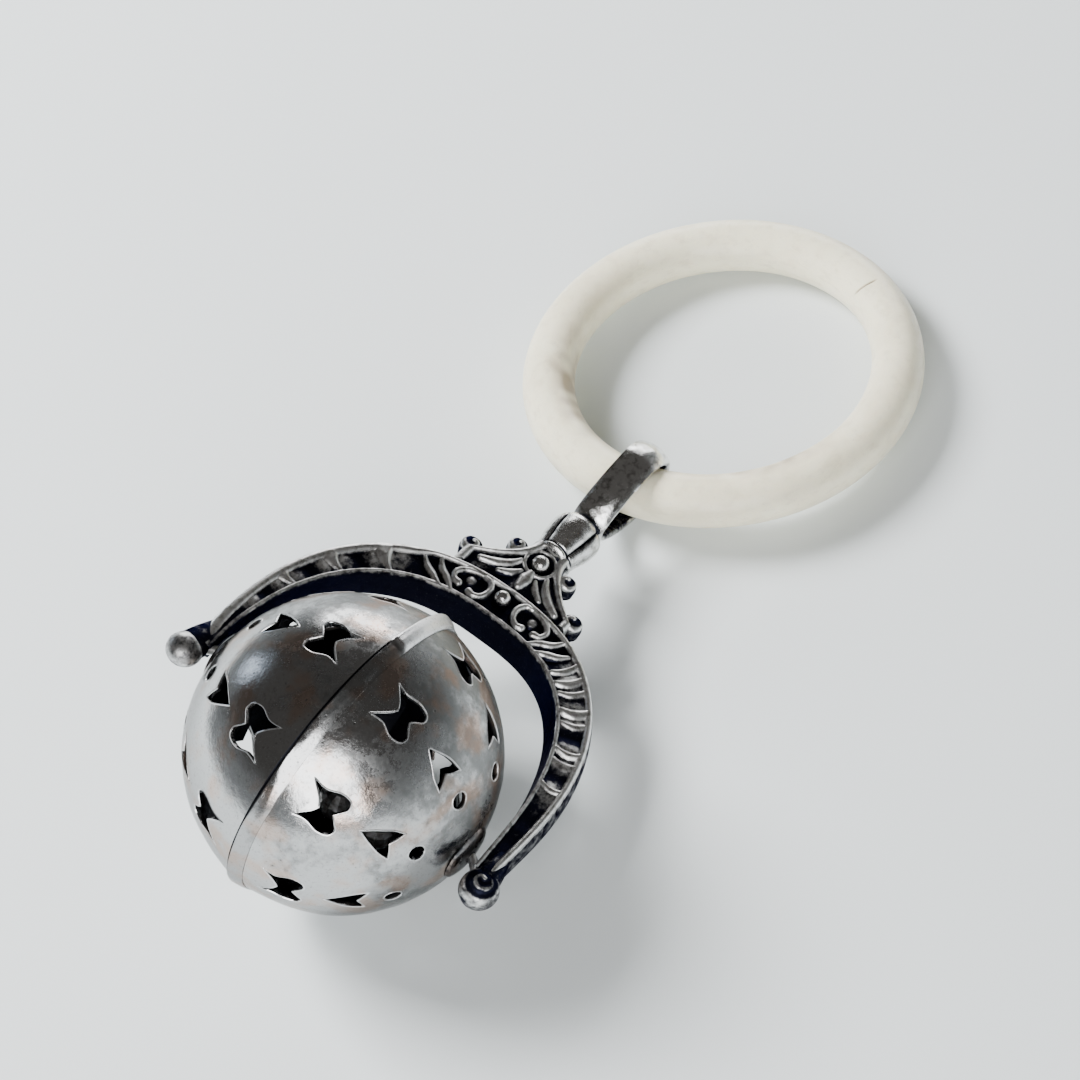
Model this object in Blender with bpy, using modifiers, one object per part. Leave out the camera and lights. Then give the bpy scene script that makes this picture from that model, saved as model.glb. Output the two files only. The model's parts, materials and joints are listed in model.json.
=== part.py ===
"""A silver ball rattle hung in a cast yoke, with a teething ring linked through the bail.

Everything of metal is modelled in the rattle's own axes: X runs along the neck from the ball's centre,
Y along the pivot axis, and Z out of the yoke's face. Two nested empties then set it down as it lies,
on the ball, the bail's underside and the far edge of the ring. Lengths below are millimetres.
"""

import math

import bmesh
import bpy
from mathutils import Matrix, Vector

MM = 0.001
GAP = 0.3  # between pieces that touch on the real rattle
WELD = 0.0001  # points nearer than this are one point

# How it lies
PITCH = math.radians(12.65)  # the neck slopes down towards the ring
ROLL = math.radians(19.87)  # the yoke leans to one side
RING_YAW = math.radians(2.27)

# Ball
BALL_R = 17.0
SHELL = 0.6
BAND_WIDTH = 2.0
BAND_OUT_R = 17.7
BAND_IN_R = 16.4
POLE_HOLE_R = 0.95
BOSS_R = 3.3
BOSS_THICK = 0.35
PATTERN_COUNT = 8
BUTTERFLY_LAT = 17.5
HEART_LAT = 41.5
PINHOLE_LAT = 58.0
PINHOLE_R = 1.0
PATTERN_TURN = {"left": 1.5, "right": 7.5}  # the halves were joined a little out of line

# Pivot pins
PIN_R = 0.55
PIN_IN = 15.6
PIN_BEND = 17.8

# Yoke, by its outer edge: the frame is hand finished and its two arms are not quite alike
YOKE_CENTRE_X = 5.0
YOKE_RISE = 24.5  # from that centre to the crown's outer edge
YOKE_POWER = 2.3  # of the superellipse that the edge follows
YOKE_LEAN = 0.07  # the crown stands a little higher towards the right arm
YOKE_HALF_SPAN = {"left": 20.9, "right": 21.4}
ARM_PULL_IN = {"left": 0.8, "right": 0.1}
ARM_END_X = -1.2
CROWN_WIDTH = 5.1  # from the outer edge to the front face's inner edge
ARM_WIDTH = {"left": 1.9, "right": 2.7}
CROWN_THICK, ARM_THICK = 4.4, 3.0
FACE_INSET = 0.5  # of the front face's outer edge from the back's
INNER_SLANT = 0.9  # the inner wall leans in towards the back, until the arm's end
EDGE_EASE = 0.5
KNOB_AT = (-2.45, 20.6)
KNOB_R = {"left": 1.95, "right": 2.2}

# Crest, neck and beads
CREST_HALF = 7.4
CREST_SHOULDER_X = 30.3  # where its hollow sides start
CREST_TOP_X = 36.6
CREST_TOP_HALF = 2.1
CREST_THICK = 3.4
SIDE_BEADS = ((31.1, 7.15, 1.25), (35.0, 3.5, 1.2))  # X, Y and radius
CROWN_BEAD = (27.1, 1.0)  # X and radius
CREST_BEAD = (34.4, 1.15)
BEAD_RISE = 0.75
NECK_END_X = 42.8
NECK_ROOT_R, NECK_WAIST_R, NECK_RIM_R = 2.6, 2.5, 3.1

# Bail and ring
EYE_X = 51.8
EYE_MID_R = 4.95
BAIL_TAIL = 8.05  # from the eye's centre back to the neck
BAIL_WIDTH, BAIL_THICK = 4.2, 1.15
RING_R = 20.47
RING_TUBE_R = 3.1

# Pellets
PELLET_R = 2.25
PELLET_STEP = 5.4

BALL_CENTRE = Vector((0.0, 0.0, BALL_R))


def clear_scene():
    for obj in list(bpy.data.objects):
        bpy.data.objects.remove(obj, do_unlink=True)


def collection(name):
    made = bpy.data.collections.new(name)
    bpy.context.scene.collection.children.link(made)
    return made


def material(name, colour, metallic, roughness):
    made = bpy.data.materials.new(name)
    made.use_nodes = True
    shader = made.node_tree.nodes["Principled BSDF"]
    shader.inputs["Base Color"].default_value = (*colour, 1.0)
    shader.inputs["Metallic"].default_value = metallic
    shader.inputs["Roughness"].default_value = roughness
    return made


def empty(name, parent=None, matrix=Matrix.Identity(4)):
    made = bpy.data.objects.new(name, None)
    PARTS.objects.link(made)
    made.parent = parent
    made.matrix_local = matrix
    return made


def mesh_object(name, mesh_data, look, parent):
    """An object in metres from a mesh in millimetres, both in the parent's axes."""
    mesh_data.transform(Matrix.Scale(MM, 4))
    mesh_data.materials.clear()
    mesh_data.materials.append(look)
    mesh_data.shade_smooth()
    mesh_data.set_sharp_from_angle(angle=math.radians(35))
    made = bpy.data.objects.new(name, mesh_data)
    PARTS.objects.link(made)
    made.parent = parent
    return made


def finish_mesh(name, work):
    bmesh.ops.recalc_face_normals(work, faces=work.faces)
    made = bpy.data.meshes.new(name)
    work.to_mesh(made)
    work.free()
    return made


def settled(name, data, setup=None):
    """The welded mesh that a curve comes to, or an outline with the modifiers that setup adds."""
    model = bpy.data.objects.new(name, data)
    CUTTERS.objects.link(model)
    if setup:
        setup(model)
    bpy.context.view_layer.update()
    graph = bpy.context.evaluated_depsgraph_get()
    made = bpy.data.meshes.new_from_object(model.evaluated_get(graph))
    bpy.data.objects.remove(model)
    work = bmesh.new()
    work.from_mesh(made)
    bmesh.ops.remove_doubles(work, verts=work.verts, dist=WELD)
    return finish_mesh(name, work)


def turned(name, profile, steps, closed=False, axis="Y"):
    """A body turned round an axis from (distance along it, radius) points, down the outer side first."""
    up = Vector((0, 1, 0) if axis == "Y" else (0, 0, 1))
    points = [up * along + Vector((radius, 0, 0)) for along, radius in profile]
    edges = [(i, i + 1) for i in range(len(points) - 1)]
    if closed:
        edges.append((len(points) - 1, 0))
    outline = bpy.data.meshes.new(name)
    outline.from_pydata(points, edges, [])

    def spin(model):
        screw = model.modifiers.new("turn", "SCREW")
        screw.axis = axis
        screw.steps = steps
        screw.render_steps = steps
        screw.use_merge_vertices = True
        screw.merge_threshold = WELD

    return settled(name, outline, spin)


def poly_curve(name, points, closed, dimensions="3D"):
    curve = bpy.data.curves.new(name, "CURVE")
    curve.dimensions = dimensions
    curve.fill_mode = "FULL" if dimensions == "3D" else "NONE"
    spline = curve.splines.new("POLY")
    spline.points.add(len(points) - 1)
    for spot, place in zip(spline.points, points):
        spot.co = (*place, 1.0)
    spline.use_cyclic_u = closed
    return curve


def plate(name, outline, thick):
    """A flat outline in X and Y, thick along Z."""
    curve = poly_curve(name, [(x, y, 0) for x, y in outline], True, "2D")
    curve.fill_mode = "BOTH"
    curve.extrude = thick / 2
    return settled(name, curve)


def loft(name, sections):
    """A skin over unlike rings of points, with a flat face at each end."""
    work = bmesh.new()
    rings = [[work.verts.new(p) for p in section] for section in sections]
    for first, second in zip(rings, rings[1:]):
        for i in range(len(first)):
            j = (i + 1) % len(first)
            work.faces.new((first[i], first[j], second[j], second[i]))
    work.faces.new(rings[0])
    work.faces.new(rings[-1])
    return finish_mesh(name, work)


def sphere(name, place, radius, around, rows):
    work = bmesh.new()
    bmesh.ops.create_uvsphere(
        work, u_segments=around, v_segments=rows, radius=radius, matrix=Matrix.Translation(place)
    )
    return finish_mesh(name, work)


def cut_by(target, cutter, operation="DIFFERENCE"):
    boolean = target.modifiers.new(operation.lower(), "BOOLEAN")
    boolean.operation = operation
    boolean.solver = "EXACT"
    boolean.object = cutter


def hidden(name, mesh_data):
    """A tool body in the rattle's own axes, for a boolean."""
    mesh_data.transform(Matrix.Scale(MM, 4))
    made = bpy.data.objects.new(name, mesh_data)
    CUTTERS.objects.link(made)
    made.parent = FRAME
    made.hide_render = True
    made.display_type = "WIRE"
    return made


# Ball


def smooth_outline(half):
    """Mirrors half an outline, given as smooth runs of points between its sharp corners."""
    points = []
    for run in half:
        for i in range(len(run) - 1):
            before = run[max(i - 1, 0)]
            after = run[min(i + 2, len(run) - 1)]
            points.append(run[i])
            points.append(spline_point(before, run[i], run[i + 1], after, 0.5))
    points.append(half[-1][-1])
    mirrored = [(-x, y) for x, y in reversed(points[1:-1])]
    return points + mirrored


def spline_point(a, b, c, d, t):
    return tuple(
        0.5 * (2 * q + (r - p) * t + (2 * p - 5 * q + 4 * r - s) * t * t + (3 * q - p - 3 * r + s) * t ** 3)
        for p, q, r, s in zip(a, b, c, d)
    )


# Outlines in the ball's surface: sideways, then towards the pole
BUTTERFLY = smooth_outline((
    ((0.0, -0.3), (0.9, -0.85), (2.35, -2.3)),
    ((2.35, -2.3), (2.05, -0.7), (2.5, 0.9), (2.2, 2.2), (1.3, 2.5), (0.55, 1.9), (0.0, 1.45)),
))
HEART = smooth_outline((
    ((0.0, -2.5), (0.85, -0.9), (1.5, 0.6), (1.75, 2.2)),
    ((1.75, 2.2), (0.9, 1.75), (0.0, 1.2)),
))
PINHOLE_TURNS = [math.radians(a) for a in range(0, 360, 30)]
PINHOLE = [(PINHOLE_R * math.cos(turn), PINHOLE_R * math.sin(turn)) for turn in PINHOLE_TURNS]


def pattern_sites(turn):
    for k in range(PATTERN_COUNT):
        lon = turn + 360.0 * k / PATTERN_COUNT
        yield BUTTERFLY, BUTTERFLY_LAT, lon
        yield HEART, HEART_LAT, lon
        yield PINHOLE, PINHOLE_LAT, lon


def pierced_cutter(name, side, turn):
    """All of one half's openings, each sawn straight in, and the hole for the pin."""
    work = bmesh.new()
    depth = 3.2
    for outline, lat, lon in pattern_sites(turn):
        lat = math.radians(lat)
        lon = math.radians(lon)
        up = side * math.sin(lat)
        out = Vector((math.cos(lat) * math.cos(lon), up, math.cos(lat) * math.sin(lon)))
        east = Vector((-math.sin(lon), 0.0, math.cos(lon)))
        north = Vector((-math.sin(lat) * math.cos(lon), side * math.cos(lat), -math.sin(lat) * math.sin(lon)))
        saw = plate("saw", outline, depth)
        saw.transform(Matrix.Translation(out * BALL_R) @ Matrix((east, north, out)).transposed().to_4x4())
        work.from_mesh(saw)
        bpy.data.meshes.remove(saw)
    bmesh.ops.create_cone(
        work, cap_ends=True, segments=16, radius1=POLE_HOLE_R, radius2=POLE_HOLE_R, depth=4.0,
        matrix=Matrix.Translation((0, side * BALL_R, 0)) @ Matrix.Rotation(math.pi / 2, 4, "X"),
    )
    return hidden(name, finish_mesh(name, work))


def facing(side, profile):
    """A turned profile for the +Y side, or its mirror image, still down the outer side first."""
    if side > 0:
        return profile
    return [(-along, radius) for along, radius in reversed(profile)]


def ball_half(name, side, turn):
    """A thin spun cup, its rim on the band, pierced all round."""
    rows = 9
    profile = []
    for radius, order in ((BALL_R, range(rows, -1, -1)), (BALL_R - SHELL, range(rows + 1))):
        rim = math.asin((BAND_WIDTH / 2 + GAP) / radius)
        for k in order:
            angle = rim + (math.pi / 2 - rim) * k / rows
            profile.append((radius * math.sin(angle), radius * math.cos(angle)))
    half = mesh_object(name, turned(name, facing(side, profile), 40), SILVER_BALL, FRAME)
    cut_by(half, pierced_cutter("cutter_" + name, side, turn))
    return half


def seam_band():
    """The half-round joining band, between the two rims."""
    half = BAND_WIDTH / 2
    profile = [(-half, BAND_IN_R), (half, BAND_IN_R)]
    for k in range(7):
        angle = math.pi * k / 6
        profile.append((half * math.cos(angle), BALL_R + (BAND_OUT_R - BALL_R) * math.sin(angle)))
    return mesh_object("seam_band", turned("seam_band", profile, 48, closed=True), SILVER_BALL, FRAME)


def pivot_boss(name, side):
    """A thin domed washer on the pole, round the pin."""
    rings = 4
    under = BALL_R + GAP
    top = []
    foot = []
    for k in range(rings + 1):
        radius = POLE_HOLE_R + (BOSS_R - POLE_HOLE_R) * k / rings
        over = under + BOSS_THICK * math.sqrt(1 - (radius / (BOSS_R * 1.12)) ** 2)
        top.append((math.sqrt(over ** 2 - radius ** 2), radius))
        foot.append((math.sqrt(under ** 2 - radius ** 2), radius))
    profile = facing(side, top + foot[::-1])
    return mesh_object(name, turned(name, profile, 20, closed=True), SILVER_BALL, FRAME)


def pellet(name, offset):
    """A loose shot, at the lowest point that it can roll to across the pivot axis."""
    reach = BALL_R - SHELL - PELLET_R - 0.4
    radius = math.sqrt(reach ** 2 - offset ** 2)
    down = (BASE_TURN.inverted() @ Vector((0, 0, -1))) * Vector((1, 0, 1))
    place = Vector((0, offset, 0)) + down.normalized() * radius
    return mesh_object(name, sphere(name, place, PELLET_R, 12, 8), STEEL, FRAME)


# Pivot pins


def pin_skin(name, side, radius):
    """A wire from inside the ball straight out through the pole, then bent down towards the knob."""
    side_name = "left" if side > 0 else "right"
    knob = Vector((KNOB_AT[0], side * KNOB_AT[1], 0))
    bend = Vector((0, side * PIN_BEND, 0))
    to_knob = (knob - bend).normalized()
    end = knob - to_knob * (KNOB_R[side_name] + GAP)
    inner_end = Vector((0, side * PIN_IN, 0))
    turn_room = 0.3  # from the corner to where the wire starts and stops turning
    before_bend = bend - Vector((0, side * turn_room, 0))
    wire = poly_curve(name, [inner_end, before_bend, bend + to_knob * turn_room, end], False)
    wire.bevel_depth = radius
    wire.bevel_resolution = 4
    wire.use_fill_caps = True
    return settled(name, wire)


# Yoke


def outer_edge(share, side_name):
    """The yoke's outer edge at this share of the way from the crown, 0, to an arm's end, 1."""
    side = 1 if side_name == "left" else -1
    straight = 0.16  # share of the way that is the arm's straight end
    half_span = YOKE_HALF_SPAN[side_name]
    if share > 1 - straight:
        drop = (share - (1 - straight)) / straight
        x = YOKE_CENTRE_X + (ARM_END_X - YOKE_CENTRE_X) * drop
        return Vector((x, side * (half_span - ARM_PULL_IN[side_name] * drop ** 2), 0))
    angle = (math.pi / 2) * share / (1 - straight)
    rise = max(0.0, math.cos(angle)) ** (2 / YOKE_POWER)
    y = side * half_span * math.sin(angle) ** (2 / YOKE_POWER)
    return Vector((YOKE_CENTRE_X + YOKE_RISE * rise - YOKE_LEAN * y * rise, y, 0))


def edge_points():
    """The whole outer edge as a fine line, from the left arm's end to the right arm's."""
    fine = 600
    left = [outer_edge(k / fine, "left") for k in range(fine, 0, -1)]
    right = [outer_edge(k / fine, "right") for k in range(fine + 1)]
    return left + right


def bar_section(width, thick, slant):
    """The bar's section with eased corners, as (outward, Z) points. Its back outer edge is at 0."""
    h = thick / 2
    ease = EDGE_EASE
    front = -FACE_INSET
    inner = -width
    deep = inner - slant
    return [
        (0, -h + ease), (front, h - ease), (front - ease, h), (inner + ease, h),
        (inner, h - ease), (deep, -h + ease), (deep + ease, -h), (-ease, -h),
    ]


def yoke():
    fine = edge_points()
    travelled = [0.0]
    for a, b in zip(fine, fine[1:]):
        travelled.append(travelled[-1] + (b - a).length)
    count = 48
    at = 0
    reach = 15  # of the fine line, each way, for the tangent
    sections = []
    for k in range(count + 1):
        goal = travelled[-1] * k / count
        while at < len(fine) - 2 and travelled[at + 1] < goal:
            at += 1
        ahead = (fine[min(at + reach, len(fine) - 1)] - fine[max(at - reach, 0)]).normalized()
        out = Vector((-ahead.y, ahead.x, 0))
        point = fine[at]
        along = abs(2 * k / count - 1)
        share = along ** 1.6
        arm_width = ARM_WIDTH["left" if point.y > 0 else "right"]
        width = CROWN_WIDTH + (arm_width - CROWN_WIDTH) * share
        thick = CROWN_THICK + (ARM_THICK - CROWN_THICK) * share
        outline = bar_section(width, thick, INNER_SLANT * (1 - share))
        sections.append([point + out * o + Vector((0, 0, z)) for o, z in outline])
    arch = mesh_object("yoke", loft("yoke", sections), SILVER_CAST, FRAME)
    for face_name, side in (("front", 1), ("back", -1)):
        cut_by(arch, bead_pit("cutter_crown_pit_" + face_name, *CROWN_BEAD, CROWN_THICK / 2, side))
    for side_name, side in (("left", 1), ("right", -1)):
        place = (KNOB_AT[0], side * KNOB_AT[1], 0)
        seat = f"cutter_knob_seat_{side_name}"
        cut_by(arch, hidden(seat, sphere(seat, place, KNOB_R[side_name] + GAP, 20, 12)))
        clearance = f"cutter_pin_clearance_{side_name}"
        cut_by(arch, hidden(clearance, pin_skin(clearance, side, PIN_R + GAP)))
    return arch


def bead_pit(name, x, radius, surface, side):
    """A round pit in a face, for a bead to sit in."""
    depth = 0.8
    work = bmesh.new()
    bmesh.ops.create_cone(
        work, cap_ends=True, segments=20, radius1=radius + GAP, radius2=radius + GAP, depth=2 * depth,
        matrix=Matrix.Translation((x, 0, side * surface)),
    )
    return hidden(name, finish_mesh(name, work))


# Crest, beads and neck


def crown_edge_x(y):
    """How far out the yoke's outer edge is at this Y, near the crown."""
    half_span = YOKE_HALF_SPAN["left" if y > 0 else "right"]
    rise = (1 - abs(y / half_span) ** YOKE_POWER) ** (1 / YOKE_POWER)
    return YOKE_CENTRE_X + YOKE_RISE * rise - YOKE_LEAN * y * rise


def crest_side(side):
    """Half of the bracket's outline: along the yoke's edge, then up its hollow side."""
    seat = GAP + 0.1
    half = []
    for k in range(7):
        y = side * CREST_HALF * k / 6
        half.append((crown_edge_x(y) + seat, y))
    for k in range(8):
        t = k / 8
        y = CREST_TOP_HALF + (CREST_HALF - CREST_TOP_HALF) * (1 - t) ** 1.8
        half.append((CREST_SHOULDER_X + (CREST_TOP_X - CREST_SHOULDER_X) * t, side * y))
    half.append((CREST_TOP_X, side * CREST_TOP_HALF))
    return half


def crest():
    """The bracket between the crown and the neck, its sides drawn in, with two beads on each side."""
    outline = crest_side(1) + crest_side(-1)[:0:-1]
    bracket = mesh_object("crest", plate("crest", outline, CREST_THICK), SILVER_CAST, FRAME)
    for i, (x, y, radius) in enumerate(SIDE_BEADS):
        for side_name, side in (("left", 1), ("right", -1)):
            bead_name = f"joined_side_bead_{i}_{side_name}"
            joined = hidden(bead_name, sphere(bead_name, (x, side * y, 0), radius, 12, 8))
            cut_by(bracket, joined, "UNION")
    for face_name, side in (("front", 1), ("back", -1)):
        cut_by(bracket, bead_pit("cutter_crest_pit_" + face_name, *CREST_BEAD, CREST_THICK / 2, side))
    return bracket


def bead(name, x, radius, surface, side):
    """A domed bead that stands out of its pit."""
    sunk = 0.5
    stem = 0.35
    dome = 5
    profile = []
    for k in range(dome):
        angle = (math.pi / 2) * (1 - k / dome)
        profile.append((stem - sunk + (sunk + BEAD_RISE - stem) * math.sin(angle), radius * math.cos(angle)))
    profile[0] = (BEAD_RISE, 0.0)
    profile += [(-sunk, radius), (-sunk, 0.0)]
    dome_mesh = turned(name, profile, 16, axis="Z")
    lie = Matrix.Rotation(0.0 if side > 0 else math.pi, 4, "X")
    dome_mesh.transform(Matrix.Translation((x, 0, side * surface)) @ lie)
    return mesh_object(name, dome_mesh, SILVER_CAST, FRAME)


def neck():
    """The stem: four full lobes that swell towards the rim."""
    start = CREST_TOP_X + GAP
    rows = 8
    steps = 32
    groove = 0.14  # share of the radius
    sections = []
    for k in range(rows + 1):
        t = k / rows
        x = start + (NECK_END_X - start) * t
        radius = NECK_WAIST_R + (NECK_RIM_R - NECK_WAIST_R) * t ** 1.3
        radius += (NECK_ROOT_R - NECK_WAIST_R) * (1 - t) ** 4
        ring = []
        for s in range(steps):
            a = 2 * math.pi * s / steps
            lobed = radius * (1 - groove + groove * abs(math.cos(2 * a)) ** 0.6)
            ring.append(Vector((x, lobed * math.cos(a), lobed * math.sin(a))))
        sections.append(ring)
    return mesh_object("neck", loft("neck", sections), SILVER_CAST, FRAME)


# Bail and ring


def bail():
    """A broad strap bent into a pear-shaped eye round the ring."""
    steps = 36
    points = []
    for s in range(steps):
        a = 2 * math.pi * s / steps
        behind = max(0.0, -math.cos(a))
        reach = EYE_MID_R if math.cos(a) > 0 else BAIL_TAIL
        squeeze = 1 - 0.3 * behind  # narrower towards the neck
        points.append((EYE_X + reach * math.cos(a), EYE_MID_R * math.sin(a) * squeeze, 0))
    corner = 0.8  # power that squares the strap's section
    section = []
    for k in range(12):
        a = 2 * math.pi * k / 12
        across = BAIL_WIDTH / 2 * math.copysign(abs(math.cos(a)) ** corner, math.cos(a))
        thick = BAIL_THICK / 2 * math.copysign(abs(math.sin(a)) ** corner, math.sin(a))
        section.append((thick, across, 0))
    strap = poly_curve("bail", points, True, "2D")
    outline = bpy.data.objects.new("bail_section", poly_curve("bail_section", section, True, "2D"))
    CUTTERS.objects.link(outline)
    strap.bevel_mode = "OBJECT"
    strap.bevel_object = outline
    bent = settled("bail", strap)
    bpy.data.objects.remove(outline)
    bent.transform(Matrix.Rotation(math.pi / 2, 4, "X"))
    return mesh_object("bail", bent, SILVER_CAST, FRAME)


def teething_ring():
    """A plain round-section ring. Its parent is on the swing axis, where its tube passes the eye."""
    bpy.ops.mesh.primitive_torus_add(
        major_segments=48, minor_segments=12, major_radius=RING_R, minor_radius=RING_TUBE_R
    )
    torus = bpy.context.object
    round_mesh = torus.data.copy()
    bpy.data.objects.remove(torus)
    round_mesh.transform(Matrix.Translation((RING_R, 0, 0)))
    return mesh_object("teething_ring", round_mesh, IVORY, RING_FRAME)


def set_down_on_origin():
    """Moves the whole rattle so that the origin is at the middle of its box's underside."""
    bpy.context.view_layer.update()
    graph = bpy.context.evaluated_depsgraph_get()
    low = Vector((1e9, 1e9, 1e9))
    high = -low
    for obj in PARTS.objects:
        if obj.type != "MESH":
            continue
        shape = obj.evaluated_get(graph)
        for vert in shape.data.vertices:
            place = shape.matrix_world @ vert.co
            low = Vector(map(min, low, place))
            high = Vector(map(max, high, place))
    ROOT.location = (-(low.x + high.x) / 2, -(low.y + high.y) / 2, -low.z)
    bpy.context.view_layer.update()


clear_scene()
PARTS = collection("ball_rattle")
CUTTERS = collection("cutters")
SILVER_BALL = material("silver_ball", (0.62, 0.62, 0.63), 1.0, 0.28)
SILVER_CAST = material("silver_cast", (0.42, 0.43, 0.45), 1.0, 0.32)
IVORY = material("ring_ivory", (0.78, 0.73, 0.62), 0.0, 0.38)
STEEL = material("pellet_steel", (0.45, 0.45, 0.46), 1.0, 0.35)

BASE_TURN = Matrix.Rotation(PITCH, 3, "Y") @ Matrix.Rotation(ROLL, 3, "X")
ROOT = empty("rattle_root")
FRAME = empty("rattle_frame", ROOT, Matrix.Translation(BALL_CENTRE * MM) @ BASE_TURN.to_4x4())

EYE = BALL_CENTRE + BASE_TURN @ Vector((EYE_X, 0, 0))
RING_TILT = math.asin((EYE.z - RING_TUBE_R) / (2 * RING_R))
RING_TURN = Matrix.Rotation(RING_YAW, 4, "Z") @ Matrix.Rotation(RING_TILT, 4, "Y")
RING_FRAME = empty("ring_frame", ROOT, Matrix.Translation(EYE * MM) @ RING_TURN)

for label, side_sign in (("left", 1), ("right", -1)):
    ball_half(f"ball_half_{label}", side_sign, PATTERN_TURN[label])
    pivot_boss(f"pivot_boss_{label}", side_sign)
    pin_name = f"pivot_pin_{label}"
    mesh_object(pin_name, pin_skin(pin_name, side_sign, PIN_R), SILVER_CAST, FRAME)
    knob_name = f"end_knob_{label}"
    knob_place = (KNOB_AT[0], side_sign * KNOB_AT[1], 0)
    mesh_object(knob_name, sphere(knob_name, knob_place, KNOB_R[label], 16, 10), SILVER_CAST, FRAME)
seam_band()
for number in range(3):
    pellet(f"pellet_{number + 1}", (number - 1) * PELLET_STEP)
yoke()
crest()
for face_name, face in (("front", 1), ("back", -1)):
    bead(f"crown_bead_{face_name}", *CROWN_BEAD, CROWN_THICK / 2, face)
    bead(f"crest_bead_{face_name}", *CREST_BEAD, CREST_THICK / 2, face)
neck()
bail()
teething_ring()
set_down_on_origin()
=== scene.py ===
"""The look of a silver ball rattle: a pierced ball in a chased yoke, with a teething ring through the bail.

Metal pieces are shaped in the rattle's own axes, in millimetres: X along the neck from the ball's centre,
Y along the pivot axis and Z out of the yoke's face. The joints in the record say where those axes lie.
"""

import json
import math

import bmesh
import bpy
import numpy as np
from mathutils import Matrix, Vector, noise


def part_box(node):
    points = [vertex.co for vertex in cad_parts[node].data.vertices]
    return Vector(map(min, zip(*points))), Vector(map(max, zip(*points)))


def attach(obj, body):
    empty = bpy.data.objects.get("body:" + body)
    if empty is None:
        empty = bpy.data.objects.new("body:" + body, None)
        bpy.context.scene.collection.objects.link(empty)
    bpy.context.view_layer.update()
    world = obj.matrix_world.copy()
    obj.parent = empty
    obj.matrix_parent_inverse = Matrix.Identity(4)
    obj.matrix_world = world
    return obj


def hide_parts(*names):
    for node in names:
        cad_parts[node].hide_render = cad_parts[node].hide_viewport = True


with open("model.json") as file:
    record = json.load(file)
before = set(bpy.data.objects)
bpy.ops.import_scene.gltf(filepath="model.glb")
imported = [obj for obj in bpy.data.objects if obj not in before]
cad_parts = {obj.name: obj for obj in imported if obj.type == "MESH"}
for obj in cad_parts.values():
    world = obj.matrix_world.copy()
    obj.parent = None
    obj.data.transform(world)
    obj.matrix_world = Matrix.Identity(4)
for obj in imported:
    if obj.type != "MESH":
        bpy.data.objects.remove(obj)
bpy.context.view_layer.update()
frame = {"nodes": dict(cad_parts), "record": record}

JOINTS = {joint["name"]: joint for joint in frame["record"]["behaviour"]["joints"]}
CENTRE = Vector(JOINTS["ball_spin"]["pos_m"])
EYE = Vector(JOINTS["ring_swing"]["pos_m"])
PIVOT = Vector(JOINTS["ball_spin"]["axis"]).normalized()
ALONG = (EYE - CENTRE).normalized()
FACE = ALONG.cross(PIVOT).normalized()
MM = Matrix.Scale(0.001, 4)
RATTLE = Matrix.Translation(CENTRE) @ Matrix((ALONG, PIVOT, FACE)).transposed().to_4x4() @ MM

RING_LOW, RING_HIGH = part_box("teething_ring")
RING_CENTRE = (RING_LOW + RING_HIGH) / 2
SWING = Vector(JOINTS["ring_swing"]["axis"]).normalized()
RING_OUT = (RING_CENTRE - EYE).normalized()
RING_UP = RING_OUT.cross(SWING).normalized()
RING = Matrix.Translation(RING_CENTRE) @ Matrix((RING_OUT, SWING, RING_UP)).transposed().to_4x4() @ MM

# Ball
BALL_R, SHELL = 17.0, 0.6
BAND_HALF, BAND_IN_R = 1.0, 16.4
LAP_START, LAP_END = 33.0, 79.5  # degrees round the seam, from the neck toward the yoke's face
PATTERN_TURN = {"left": 1.5, "right": 7.5}

# Yoke, by its outer edge
YOKE_CENTRE_X, YOKE_RISE, YOKE_POWER, YOKE_LEAN = 5.0, 24.5, 2.3, 0.07
YOKE_HALF_SPAN = {"left": 20.9, "right": 21.4}
ARM_PULL_IN = {"left": 0.8, "right": 0.1}
ARM_WIDTH = {"left": 1.9, "right": 2.7}
ARM_END_X = -1.2
CROWN_WIDTH, CROWN_THICK, ARM_THICK = 5.1, 4.4, 3.0
FACE_INSET, INNER_SLANT = 0.5, 0.9
KNOB_X, KNOB_Y = -2.45, {"left": 20.3, "right": 20.6}
KNOB_R = {"left": 2.05, "right": 2.2}

# Crest, neck, bail and ring
CREST_HALF, CREST_SHOULDER_X, CREST_TOP_X, CREST_TOP_HALF, CREST_THICK = 7.4, 30.3, 36.6, 2.1, 3.4
CROWN_BEAD_X, CREST_BEAD_X = 27.1, 34.4
NECK_END_X = 42.8
EYE_X = (EYE - CENTRE).length * 1000
EYE_MID_R, BAIL_TAIL, BAIL_WIDTH, BAIL_THICK = 4.95, 8.05, 4.2, 1.15
RING_R, RING_TUBE_R = (RING_CENTRE - EYE).length * 1000, 3.1

PIECES = bpy.data.collections.new("rattle_look")
bpy.context.scene.collection.children.link(PIECES)


# Node materials


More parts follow.
